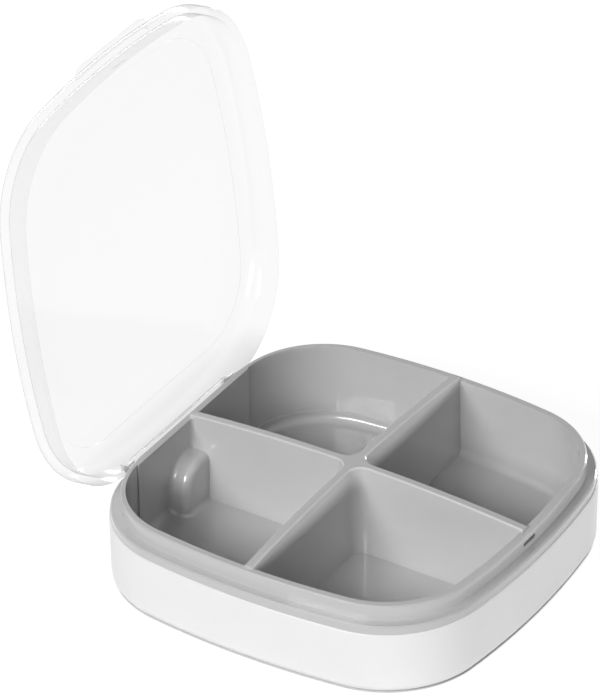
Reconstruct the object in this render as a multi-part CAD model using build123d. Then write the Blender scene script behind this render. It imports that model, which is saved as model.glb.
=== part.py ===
from build123d import *
import math
import os

# A four-compartment pocket pill box. Millimetres, +Z up, the catch at -Y and the hinge at +Y.
# The origin is the middle of the underside. The lid is drawn shut and then turned open.

# Outline seen from above, shared by the shell, the tray and the lid: four long arcs, four corner arcs,
# with radii as shares of half the width
half_width = 36.0
side_radius_share = 3.93
corner_radius_share = 0.514

# Outer shell
shell_height = 11.8
shell_wall = 1.2
shell_floor = 0.6
shell_draft = 0.2
shell_foot_round = 1.5
shell_lip_break = 0.2

# Inner tray: floor, flange on the shell's edge, and the rim that the lid goes over
tray_floor = 0.6
floor_gap = 0.1
floor_round = 1.8
flange_height = 1.6
flange_inset = 0.25
rim_inset = 1.95
rim_wall = 1.3
rim_rise = 2.9
edge_break = 0.25

# Step under the flange that centres the tray in the shell
step_depth = 2.0
step_gap = 0.1

# Partitions, thicker at the floor, with domed tops that rise above the rim
partition_top = 1.6
partition_base = 2.4
crown_rise = 2.1
crown_end_rise = 0.55
cross_round = 2.4

# Straight wall in front of the hinge, proud of the rim beside it, with the arched boss on its inner side
hinge_wall_inset = 4.1
hinge_wall = 1.1
hinge_wall_half_length = 17.2
corner_relief = 0.5
boss_half_width = 8.0
boss_height = 9.2
boss_depth = 3.6
boss_corner = 5.0
boss_round = 1.4
boss_foot_round = 0.8
boss_wall = 1.1

# Hinge: the lid's barrel carries a stub pin at each end, in the tray's two ears
hinge_inset = 1.5
hinge_rise = 0.4
barrel_radius = 1.25
barrel_half_length = 14.6
pin_radius = 0.45
pin_length = 1.2
pin_fit = 0.05
ear_radius = 0.9
ear_width = 1.8
side_gap = 0.1
swing_gap = 0.2
recess_half_length = 18.5
open_angle = 98.5

# Catch: a slot in the front of the rim, and the lid's nib
slot_width = 3.8
slot_height = 0.8
slot_depth = 0.9
slot_rise = 1.3
nib_width = 3.4
nib_height = 0.4
nib_gap = 0.15

# Lid
lid_lift = 0.1
lid_wall = 1.45
lid_plate = 1.2
lid_gap = 0.5
lid_outer_round = 2.4
lid_inner_round = 1.8
lid_back_inset = 0.1
panel_inset = 5.9
panel_back_inset = 6.9
panel_step = 0.2

# Thumb tab on the lid's front
tab_half_width = 10.1
tab_reach = 2.0
tab_thickness = 1.3
tab_rise = 1.5
tab_corner = 1.2

# Overlap of pieces that are joined, and one overrun for all cuts
lap = 0.4
overrun = 2.0

# The outline's arcs: the middles of the side arcs are on the axes, those of the corner arcs on the diagonals
side_radius = side_radius_share * half_width
corner_radius = corner_radius_share * half_width
side_centre = half_width - side_radius
centre_gap = side_radius - corner_radius
corner_centre = (side_centre + math.sqrt(2 * centre_gap**2 - side_centre**2)) / 2

# Heights and places that the pieces share
tray_bottom = shell_floor + floor_gap
floor_top = tray_bottom + tray_floor
flange_top = shell_height + flange_height
rim_top = flange_top + rim_rise
rim_inner_inset = rim_inset + rim_wall
hinge_wall_face = half_width - hinge_wall_inset
hinge_wall_back = hinge_wall_face + hinge_wall
boss_face = hinge_wall_face - boss_depth
hinge_y = half_width - hinge_inset
hinge_z = flange_top + hinge_rise
ear_start = barrel_half_length + side_gap
ear_end = ear_start + ear_width

# The partitions' tops lie on a ball through the crown's middle and its ends
dome_top = rim_top + crown_rise
dome_reach = half_width - rim_inner_inset
dome_drop = crown_rise - crown_end_rise
dome_radius = (dome_reach**2 + dome_drop**2) / (2 * dome_drop)

# The lid's middle is on the same ball, and flat where the ball would reach lower than the panel's sides
lid_foot = flange_top + lid_lift
panel_reach = half_width - panel_inset
panel_drop = dome_radius - math.sqrt(dome_radius**2 - panel_reach**2)
panel_top = dome_top + lid_gap
panel_low = panel_top - panel_drop
lid_top = panel_top + panel_step + lid_plate


def outline(inset):
    """Face inside the shared outline, with every arc moved inwards by the inset."""
    spread = math.degrees(math.atan2(corner_centre, corner_centre - side_centre))
    side = CenterArc((0, side_centre), side_radius - inset, 90 - spread, 2 * spread)
    corner = CenterArc((corner_centre, corner_centre), corner_radius - inset, spread, 90 - 2 * spread)
    arcs = [Rot(0, 0, turn) * arc for turn in (0, 90, 180, 270) for arc in (side, corner)]
    return make_face(Curve() + arcs)


def prism(inset, low, high, taper=0):
    """The outline at an inset, drawn up from one height to another."""
    return extrude(Pos(0, 0, low) * outline(inset), high - low, taper=taper)


def block(x_range, y_range, z_range):
    """Rectangular block between two places along each axis."""
    ranges = (x_range, y_range, z_range)
    sizes = [end - start for start, end in ranges]
    middles = [(end + start) / 2 for start, end in ranges]
    return Pos(*middles) * Box(*sizes)


def behind(y_place):
    """Everything further back than a place, for straight cuts across the outline."""
    reach = half_width + overrun
    return block((-reach, reach), (y_place, reach), (-overrun, lid_top + overrun))


def dome(top):
    """Large ball whose highest point is at the given height."""
    return Pos(0, 0, top - dome_radius) * Sphere(dome_radius)


def hinge_rod(radius, start, end):
    """Round rod along the hinge axis."""
    return Pos((start + end) / 2, hinge_y, hinge_z) * Rot(0, 90, 0) * Cylinder(radius, end - start)


def both_sides(piece):
    """The piece and its mirror image across the middle plane."""
    return piece + mirror(piece, Plane.YZ)


def end_edges(solid, end):
    """Edges round the solid's lowest face (0) or highest face (-1)."""
    return solid.faces().sort_by(Axis.Z)[end].edges()


def make_outer_shell():
    draft_angle = math.degrees(math.atan(shell_draft / shell_height))
    body = prism(shell_draft, 0, shell_height, -draft_angle)
    body = fillet(end_edges(body, 0), shell_foot_round)
    body = chamfer(end_edges(body, -1), shell_lip_break)
    return body - prism(shell_wall + shell_draft, shell_floor, shell_height + overrun, -draft_angle)


def make_partition():
    """One upright wall along Y, thicker at the floor and higher than the rim."""
    top = dome_top + overrun
    slope = (partition_base - partition_top) / 2 / (dome_top - floor_top)
    half_base = partition_base / 2
    half_top = half_base - slope * (top - floor_top)
    corners = [(-half_base, floor_top), (half_base, floor_top), (half_top, top), (-half_top, top)]
    section = make_face(Polyline(*corners, close=True))
    return extrude(Plane.XZ * section, half_width, both=True)


def make_cross():
    """Both partitions, with the four upright corners in the middle rounded."""
    partition = make_partition()
    cross = partition + Rot(0, 0, 90) * partition
    uprights = cross.edges().sort_by(lambda edge: math.hypot(edge.center().X, edge.center().Y))[:4]
    return fillet(uprights, cross_round)


def make_compartments(cross):
    """The four hollows between the rim, the hinge wall, the boss and the partitions."""
    hollows = prism(rim_inner_inset, floor_top, dome_top + overrun) - behind(hinge_wall_face) - cross
    at_floor = hollows.edges().filter_by_position(Axis.Z, floor_top, floor_top)
    wall_foot = at_floor.filter_by(lambda edge: off_middle(edge, partition_base))
    hollows = fillet(wall_foot, floor_round) - make_boss()
    hollows = fillet(hollows.edges().filter_by(at_boss_foot), boss_foot_round)
    return hollows + both_sides(make_corner_relief())


def off_middle(edge, distance):
    """Whether the edge's middle is further than a distance from both middle planes."""
    middle = edge.center()
    return min(abs(middle.X), abs(middle.Y)) > distance


def at_boss_foot(edge):
    """Whether the edge is where the boss meets the hinge wall, the floor or the round between them."""
    middle = edge @ 0.5
    low, high = edge.bounding_box().min, edge.bounding_box().max
    by_boss = abs(middle.X) < boss_half_width + edge_break and low.Y > boss_face - edge_break
    on_wall = low.Y > hinge_wall_face - edge_break
    on_floor = high.Z < floor_top + edge_break
    on_round = edge.geom_type == GeomType.CIRCLE and high.Z < floor_top + floor_round + edge_break
    return by_boss and (on_wall or on_floor or on_round)


def make_corner_relief():
    """Shallow upright recess in the rim's inner side, from the straight wall's end round the corner."""
    low = floor_top + floor_round
    high = rim_top + overrun
    place = Pos(corner_centre, corner_centre + corner_relief, (low + high) / 2)
    round_hollow = place * Cylinder(corner_radius - rim_inner_inset, high - low)
    corner = block((boss_half_width, half_width), (corner_centre, half_width), (low, high))
    straight_wall = block((0, hinge_wall_half_length), (hinge_wall_face, half_width), (low, high))
    return round_hollow & (corner - straight_wall)


def make_crown(cross):
    """The partitions cut to length, with their tops on the dome and the top edges broken."""
    reach = dome_reach + lap
    extent = block((-reach, reach), (-reach, hinge_wall_face + lap), (flange_top, dome_top))
    crown = cross & extent & dome(dome_top)
    top_edges = crown.faces().filter_by(GeomType.SPHERE).edges()
    side_edges = top_edges.filter_by(lambda edge: off_middle(edge, partition_top / 4))
    return chamfer(side_edges, edge_break)


def boss_section(inset):
    """Upright arch of the boss, every side but the foot moved inwards by the inset."""
    height = boss_height - inset
    arch = Rectangle(2 * (boss_half_width - inset), height)
    arch = fillet(arch.vertices().sort_by(Axis.Y)[2:], boss_corner - inset)
    return Plane.XZ * (Pos(0, floor_top + height / 2) * arch)


def make_boss():
    """Solid arch on the inner side of the hinge wall."""
    arch = extrude(Pos(0, hinge_wall_face + lap, 0) * boss_section(0), boss_depth + lap)
    front_edges = arch.faces().sort_by(Axis.Y)[0].edges()
    rounded = front_edges.filter_by(lambda edge: edge.center().Z > floor_top + lap)
    return fillet(rounded, boss_round)


def make_boss_core():
    """Hollow that opens behind the hinge wall and keeps the boss one wall thick."""
    depth = hinge_wall + boss_depth - boss_wall
    return extrude(Pos(0, hinge_wall_back, 0) * boss_section(boss_wall), depth)


def make_ears():
    """The two lugs behind the hinge wall that hold the lid's stub pins."""
    top = hinge_z + ear_radius
    front = block((ear_start, ear_end), (hinge_wall_back - lap, hinge_y), (shell_height, top))
    back = block((ear_start, ear_end), (hinge_y, hinge_y + ear_radius), (shell_height, hinge_z))
    foot = (front + back) & prism(flange_inset, shell_height, lid_top)
    ear = foot + hinge_rod(ear_radius, ear_start, ear_end)
    bore = hinge_rod(pin_radius + pin_fit, ear_start - overrun, ear_start + pin_length + side_gap)
    return both_sides(ear), both_sides(bore)


def catch_bar(width, height, start, depth):
    """Flat bar with round ends, at the catch's height, from a place along Y towards the back."""
    bar = Plane.XZ * (Pos(0, flange_top + slot_rise) * SlotOverall(width, height))
    return extrude(Pos(0, start, 0) * bar, -depth)


def make_inner_tray():
    cross = make_cross()
    tub = prism(rim_inset, tray_bottom, rim_top)
    tub = chamfer(end_edges(tub, -1), edge_break) - behind(hinge_wall_back)
    step = prism(shell_wall + step_gap, shell_height - step_depth, shell_height)
    flange = prism(flange_inset, shell_height, flange_top)
    flange = chamfer(end_edges(flange, -1), edge_break)
    recess_x = (-recess_half_length, recess_half_length)
    flange -= block(recess_x, (hinge_wall_back, half_width), (shell_height, rim_top))
    ears, bores = make_ears()
    slot = catch_bar(slot_width, slot_height, rim_inset - half_width - overrun, slot_depth + overrun)
    tray = tub + step + flange - make_compartments(cross)
    tray += make_crown(cross)
    tray += ears
    return tray - make_boss_core() - bores - slot


def plate_surface(rise):
    """Solid below the lid's plate: flat near the edge, domed in the middle, raised by a distance."""
    reach = half_width + overrun
    slab = block((-reach, reach), (-reach, reach), (-overrun, panel_low + rise))
    return slab + dome(panel_top + rise)


def make_lid_body():
    """Domed cover with rounded shoulders, hollow below, straight across the hinge."""
    plate_low = panel_low + panel_step
    body = prism(0, lid_foot, plate_low + lid_plate) - behind(half_width - lid_back_inset)
    body = chamfer(end_edges(body, 0), edge_break)
    body = fillet(end_edges(body, -1), lid_outer_round)
    body += plate_surface(panel_step + lid_plate) & prism(panel_inset, plate_low, lid_top)
    hollow = prism(lid_wall, lid_foot - overrun, plate_low)
    hollow = fillet(end_edges(hollow, -1), lid_inner_round)
    hollow += plate_surface(panel_step) & prism(panel_inset, lid_foot, lid_top)
    return body - hollow


def make_panel():
    """Thicker middle of the cover, a low step on its inner side."""
    panel = prism(panel_inset, lid_foot, lid_top) - behind(half_width - panel_back_inset)
    return panel & plate_surface(panel_step + lid_plate / 2) - plate_surface(0)


def make_tab():
    """Thumb tab on the front wall."""
    low = lid_foot + tab_rise
    x_range = (-tab_half_width, tab_half_width)
    y_range = (-half_width - tab_reach, lap - half_width)
    tab = block(x_range, y_range, (low, low + tab_thickness))
    corners = tab.edges().filter_by(Axis.Z).sort_by(Axis.Y)[:2]
    tab = fillet(corners, tab_corner)
    flats = tab.faces().filter_by(Axis.Z).edges()
    return chamfer(flats.filter_by(lambda edge: edge.center().Y < -half_width), edge_break)


def make_lid():
    body = make_lid_body() + make_panel() + make_tab()
    notch_x = (ear_start - side_gap, ear_end + side_gap)
    notch_z = (lid_foot - overrun, hinge_z + barrel_radius + swing_gap)
    notch = block(notch_x, (hinge_wall_face, half_width), notch_z)
    body -= both_sides(notch)
    body += hinge_rod(barrel_radius, -barrel_half_length, barrel_half_length)
    pin_end = barrel_half_length + pin_length
    body += hinge_rod(pin_radius, -pin_end, pin_end)
    nib_depth = rim_inset - nib_gap - lid_wall
    body += catch_bar(nib_width, nib_height, lid_wall - half_width - lap, nib_depth + lap)
    return body.rotate(Axis((0, hinge_y, hinge_z), (1, 0, 0)), -open_angle)


os.makedirs("parts", exist_ok=True)
pieces = {"outer_shell": make_outer_shell(), "inner_tray": make_inner_tray(), "lid": make_lid()}
for name, piece in pieces.items():
    export_step(piece, f"parts/{name}.step")
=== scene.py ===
import math
import bmesh
import bpy
from mathutils import Matrix, Vector


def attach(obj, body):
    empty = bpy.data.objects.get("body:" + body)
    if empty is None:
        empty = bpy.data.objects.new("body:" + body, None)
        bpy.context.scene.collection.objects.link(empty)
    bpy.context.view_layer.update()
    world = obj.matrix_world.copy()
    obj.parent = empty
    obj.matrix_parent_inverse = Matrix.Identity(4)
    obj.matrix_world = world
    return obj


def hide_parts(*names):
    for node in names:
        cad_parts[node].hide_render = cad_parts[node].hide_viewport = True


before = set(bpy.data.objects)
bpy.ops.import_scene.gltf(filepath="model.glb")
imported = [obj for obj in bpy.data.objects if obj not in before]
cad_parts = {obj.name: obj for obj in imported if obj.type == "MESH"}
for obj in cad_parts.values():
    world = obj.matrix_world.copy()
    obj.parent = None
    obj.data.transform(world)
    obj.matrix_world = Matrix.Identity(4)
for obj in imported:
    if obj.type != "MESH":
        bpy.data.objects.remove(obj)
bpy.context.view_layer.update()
print("frame loaded:", ", ".join(sorted(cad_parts)))


# A socket of a material or of the world. Sums and products of sockets add Math nodes.
class Wire:
    def __init__(self, tree, socket=None):
        self.tree = tree
        self.socket = socket

    def node(self, kind, settings=None, sockets=None, out=0):
        made = self.tree.nodes.new(kind)
        for name, value in (settings or {}).items():
            setattr(made, name, value)
        for name, value in (sockets or {}).items():
            if isinstance(value, Wire):
                self.tree.links.new(value.socket, made.inputs[name])
            else:
                made.inputs[name].default_value = value
        return Wire(self.tree, made.outputs[out] if len(made.outputs) else None)

    def maths(self, operation, first, second):
        return self.node("ShaderNodeMath", {"operation": operation}, {0: first, 1: second})

    def __add__(self, other):
        return self.maths("ADD", self, other)

    __radd__ = __add__

    def __sub__(self, other):
        return self.maths("SUBTRACT", self, other)

    def __rsub__(self, other):
        return self.maths("SUBTRACT", other, self)

    def __mul__(self, other):
        return self.maths("MULTIPLY", self, other)

    __rmul__ = __mul__

    def power(self, exponent):
        return self.maths("POWER", self, exponent)

    def band(self, low, high):
        # 0 below low, 1 above high, smooth between
        limits = {"Value": self, "From Min": low, "From Max": high}
        return self.node("ShaderNodeMapRange", {"interpolation_type": "SMOOTHSTEP"}, limits)

    def tint(self, first, second):
        # a colour that goes from the first to the second with this socket; 6, 7 and 2 are the node's colours
        return self.node("ShaderNodeMix", {"data_type": "RGBA"}, {0: self, 6: first, 7: second}, 2)


def grey(level):
    return (level, level, level, 1)  # red, green, blue and opacity


def newMaterial(name):
    material = bpy.data.materials.new(name)
    material.use_nodes = True
    material.node_tree.nodes.clear()
    return material, Wire(material.node_tree)


def finishMaterial(start, surface):
    start.node("ShaderNodeOutputMaterial", {}, {"Surface": surface})


def mixed(share, first, second):
    return share.node("ShaderNodeMixShader", {}, {0: share, 1: first, 2: second})


noiseMiddle = 0.5  # what a noise or a wave texture gives on average

# What the mould leaves on both plastic pieces: clouds in colour and gloss, a fine grain and flow rings
mouldMarks = {
    "cloudScale": 60.0, "cloudDetail": 3.0, "cloudBand": (0.3, 0.7), "cloudHeight": 2.0,
    "grainScale": 2600.0, "grainDetail": 2.0, "grainStrength": 0.05, "grainDepth": 0.0002,
    "flowScale": 20.0, "flowBend": 6.0, "flowDetail": 2.0,
    "cloudRough": 0.08, "flowRough": 0.024, "ior": 1.5,
}


def mouldedPlastic(name, look, marks=mouldMarks):
    material, start = newMaterial(name)
    place = start.node("ShaderNodeTexCoord", out="Object")
    cloud = start.node("ShaderNodeTexNoise", {}, {
        "Vector": place, "Scale": marks["cloudScale"], "Detail": marks["cloudDetail"]})
    grain = start.node("ShaderNodeTexNoise", {}, {
        "Vector": place, "Scale": marks["grainScale"], "Detail": marks["grainDetail"]})
    flow = start.node("ShaderNodeTexWave", {"wave_type": "RINGS", "rings_direction": "Z"}, {
        "Vector": place, "Scale": marks["flowScale"],
        "Distortion": marks["flowBend"], "Detail": marks["flowDetail"]})
    colour = cloud.band(*marks["cloudBand"]).tint(look["colour"], look["colourDeep"])
    if "paintedOutsideShade" in look:
        # painted shade: faces turned outward from the middle of the box get a deeper colour at any height,
        # standing in for the shade on the tray's outer rim and flange
        level = start.node("ShaderNodeVectorMath", {"operation": "MULTIPLY"}, {0: place, 1: (1, 1, 0)})
        side = start.node("ShaderNodeTexCoord", out="Normal")
        outwardShadeMask = start.node("ShaderNodeVectorMath", {"operation": "DOT_PRODUCT"}, {0: level, 1: side}, "Value")
        colour = outwardShadeMask.band(*look["paintedShadeReach"]).tint(colour, look["paintedOutsideShade"])
    cloudRough = (cloud - noiseMiddle) * marks["cloudRough"]
    flowRough = (flow - noiseMiddle) * marks["flowRough"]
    bump = start.node("ShaderNodeBump", {}, {
        "Height": grain + cloud * marks["cloudHeight"],
        "Strength": marks["grainStrength"], "Distance": marks["grainDepth"]})
    body = start.node("ShaderNodeBsdfPrincipled", {}, {
        "Base Color": colour, "Roughness": look["rough"] + cloudRough + flowRough, "Normal": bump,
        "IOR": marks["ior"], "Coat Weight": look["coat"], "Coat Roughness": look["coatRough"]})
    finishMaterial(start, body)
    return material


def dress(node, material):
    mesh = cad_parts[node].data
    if not mesh.materials:
        mesh.materials.append(material)
    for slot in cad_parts[node].material_slots:
        slot.material = material


# The white lower shell
shellLook = {
    "colour": grey(0.755), "colourDeep": grey(0.735),
    "rough": 0.38, "coat": 0.1, "coatRough": 0.2,
}
dress("outer_shell", mouldedPlastic("whiteShell", shellLook))

# The light grey tray with its glossy skin
trayLook = {
    "colour": grey(0.6), "colourDeep": grey(0.58),
    # the outer faces of the rim and flange get a darker colour as painted shade
    "paintedOutsideShade": grey(0.46), "paintedShadeReach": (0.018, 0.026),  # metres from the middle of the box
    "rough": 0.36, "coat": 1.0, "coatRough": 0.04,
}
dress("inner_tray", mouldedPlastic("greyTray", trayLook))

# The clear lid. What ends in Face counts all over it.
# What ends in Edge is added where the view is slanted, more sharply with a higher Power.
lidLook = {
    "shade": grey(0.45), "shadeFace": 0.06, "shadeEdge": 1.0, "shadePower": 9.0,
    # the hinge values paint shade onto the lid near its hinge
    "paintedHingeShade": 0.2, "hingeDepth": (0.034, 0.0425), "hingeHeight": (0.0145, 0.018),
    "glossFace": 0.02, "glossEdge": 0.3, "glossPower": 5.0,
    "veil": grey(0.8), "veilFace": 0.01, "veilEdge": 0.15, "veilPower": 3.0, "veilVary": 0.004,
    "rough": 0.07, "roughVary": 0.04, "cloudScale": 45.0, "cloudDetail": 2.0,
}


# Clear plastic seen through without bending the view, with a grey shade, gloss and a faint milky veil
def clearPlastic(name, look):
    material, start = newMaterial(name)
    place = start.node("ShaderNodeTexCoord", out="Object")
    cloud = start.node("ShaderNodeTexNoise", {}, {
        "Vector": place, "Scale": look["cloudScale"], "Detail": look["cloudDetail"]})
    slant = start.node("ShaderNodeLayerWeight", out="Facing")
    depth = start.node("ShaderNodeSeparateXYZ", {}, {0: place}, "Y").band(*look["hingeDepth"])
    height = start.node("ShaderNodeSeparateXYZ", {}, {0: place}, "Z").band(*look["hingeHeight"])
    paintedHingeShadow = (1 - depth) * (1 - height) * look["paintedHingeShade"]  # painted shade: greyer near the hinge, standing in for the floor's shade seen through the lid there
    shadeShare = look["shadeFace"] + slant.power(look["shadePower"]) * look["shadeEdge"] + paintedHingeShadow
    glossShare = look["glossFace"] + slant.power(look["glossPower"]) * look["glossEdge"]
    veilCloud = (cloud - noiseMiddle) * look["veilVary"]
    veilShare = look["veilFace"] + slant.power(look["veilPower"]) * look["veilEdge"] + veilCloud
    clear = start.node("ShaderNodeBsdfTransparent", {}, {"Color": grey(1)})
    shade = start.node("ShaderNodeBsdfTransparent", {}, {"Color": look["shade"]})
    gloss = start.node("ShaderNodeBsdfAnisotropic", {}, {
        "Color": grey(1), "Roughness": look["rough"] + cloud * look["roughVary"]})
    veil = start.node("ShaderNodeBsdfDiffuse", {}, {"Color": look["veil"]})
    glassy = mixed(glossShare, mixed(shadeShare, clear, shade), gloss)
    finishMaterial(start, mixed(veilShare, glassy, veil))
    return material


coverShape = {"mergeGap": 1e-6, "sharpDegrees": 25}


# The lid's own mesh with its doubles merged, so that gloss runs smoothly over the dome and its middle
def mergedCopy(node, name):
    shape = bmesh.new()
    shape.from_mesh(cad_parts[node].data)
    bmesh.ops.remove_doubles(shape, verts=shape.verts, dist=coverShape["mergeGap"])
    mesh = bpy.data.meshes.new(name)
    shape.to_mesh(mesh)
    shape.free()
    if "custom_normal" in mesh.attributes:
        mesh.attributes.remove(mesh.attributes["custom_normal"])
    mesh.shade_smooth()
    mesh.set_sharp_from_angle(angle=math.radians(coverShape["sharpDegrees"]))
    piece = bpy.data.objects.new(name, mesh)
    bpy.context.scene.collection.objects.link(piece)
    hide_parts(node)
    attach(piece, node)
    return piece


clearCover = mergedCopy("lid", "clearCover")
clearCover.data.materials.clear()
clearCover.data.materials.append(clearPlastic("clearLid", lidLook))
print("shell, tray and lid dressed")

# Floor and surroundings: pale paper for the light, white for what the camera sees directly or in reflections
stage = {
    "reach": 3.0, "drop": 0.0001, "paper": grey(0.85), "white": 1.25, "whiteShare": 0.75, "ambient": 0.025,
    # the paper's colour close to the part is darker: a painted contact shadow
    "contactReach": 0.0007, "contactBand": (0.4, 0.7), "paintedContactShade": grey(0.7), "contactSamples": 16,
}


# 1 for a ray from the camera, a reflection or through something clear, 0 for the light on the part
def seenRays(start):
    rays = ("Is Camera Ray", "Is Glossy Ray", "Is Transmission Ray")
    camera, glossy, through = (start.node("ShaderNodeLightPath", out=ray) for ray in rays)
    return start.maths("MINIMUM", camera + glossy + through, 1.0)


def paperMaterial():
    material, start = newMaterial("paper")
    # the white stops close to the part, where the paper has a dark line of contact: partly the real shadow
    # on the paper, partly painted shade from a darker paper colour there
    contact = start.node("ShaderNodeAmbientOcclusion", {"samples": stage["contactSamples"]},
                         {"Distance": stage["contactReach"]}, "AO")
    openness = contact.band(*stage["contactBand"])
    paperWithPaintedShade = openness.tint(stage["paintedContactShade"], stage["paper"])
    paper = start.node("ShaderNodeBsdfDiffuse", {}, {"Color": paperWithPaintedShade})
    white = start.node("ShaderNodeEmission", {}, {"Color": grey(1), "Strength": stage["white"]})
    finishMaterial(start, mixed(seenRays(start) * openness * stage["whiteShare"], paper, white))
    return material


bpy.ops.mesh.primitive_plane_add(size=2 * stage["reach"], location=(0, 0, -stage["drop"]))
floor = bpy.context.object
floor.name = "floor"
floor.data.materials.append(paperMaterial())

world = bpy.data.worlds.new("studio")
bpy.context.scene.world = world
world.use_nodes = True
world.node_tree.nodes.clear()
air = Wire(world.node_tree)
ambient = air.node("ShaderNodeBackground", {}, {"Color": grey(1), "Strength": stage["ambient"]})
shown = air.node("ShaderNodeBackground", {}, {"Color": grey(1), "Strength": 1.0})  # 1 is white
air.node("ShaderNodeOutputWorld", {}, {"Surface": mixed(seenRays(air), ambient, shown)})

# Soft flat lamps, each turned about the part from its front and raised above the floor, in degrees
lamps = {
    "sideHigh": {"turn": -96, "rise": 32, "reach": 0.7, "width": 0.36, "height": 0.2, "watts": 3.95},
    "sideLow": {"turn": -92, "rise": 22, "reach": 0.7, "width": 0.3, "height": 0.2, "watts": 0.5},
    "frontLow": {"turn": 0, "rise": 3, "reach": 0.7, "width": 0.4, "height": 0.06, "watts": 2.35},
    "backLow": {"turn": 140, "rise": 8, "reach": 0.7, "width": 0.35, "height": 0.12, "watts": 1.3},
    "rightLow": {"turn": 86, "rise": 4, "reach": 0.7, "width": 0.35, "height": 0.08, "watts": 1.1},
}
lampAim = Vector((0, 0, 0.01))  # inside the case, near its middle


# The way from the part to a lamp or the camera
def facing(turnDegrees, riseDegrees):
    turn, rise = math.radians(turnDegrees), math.radians(riseDegrees)
    return Vector((math.sin(turn) * math.cos(rise), -math.cos(turn) * math.cos(rise), math.sin(rise)))


for name, lamp in lamps.items():
    data = bpy.data.lights.new(name, "AREA")
    data.shape = "RECTANGLE"
    data.size = lamp["width"]
    data.size_y = lamp["height"]
    data.energy = lamp["watts"]
    light = bpy.data.objects.new(name, data)
    bpy.context.scene.collection.objects.link(light)
    light.location = facing(lamp["turn"], lamp["rise"]) * lamp["reach"]
    light.rotation_euler = (lampAim - light.location).to_track_quat("-Z", "Y").to_euler()
print("floor, surroundings and lamps done")

# Camera from the photograph's lines, angles in degrees, sensor and lens in millimetres
view = {
    "turn": -57.67, "rise": 33.41, "roll": -0.5, "target": (0.03281, 0.03134, 0.012),
    "distance": 1.2741, "lens": 382.4, "sensor": 36, "farthest": 20,
}


def placeCamera():
    data = bpy.data.cameras.new("camera")
    data.sensor_width = view["sensor"]
    data.lens = view["lens"]
    data.clip_end = view["farthest"]
    camera = bpy.data.objects.new("camera", data)
    bpy.context.scene.collection.objects.link(camera)
    back = facing(view["turn"], view["rise"])
    level = Vector((0, 0, 1)).cross(back).normalized()
    upright = back.cross(level)
    roll = math.radians(view["roll"])
    right = math.cos(roll) * level + math.sin(roll) * upright
    up = math.cos(roll) * upright - math.sin(roll) * level
    pose = Matrix((right, up, back)).transposed().to_4x4()
    pose.translation = Vector(view["target"]) + back * view["distance"]
    camera.matrix_world = pose
    bpy.context.scene.camera = camera


placeCamera()
bpy.context.scene.view_settings.view_transform = "Standard"
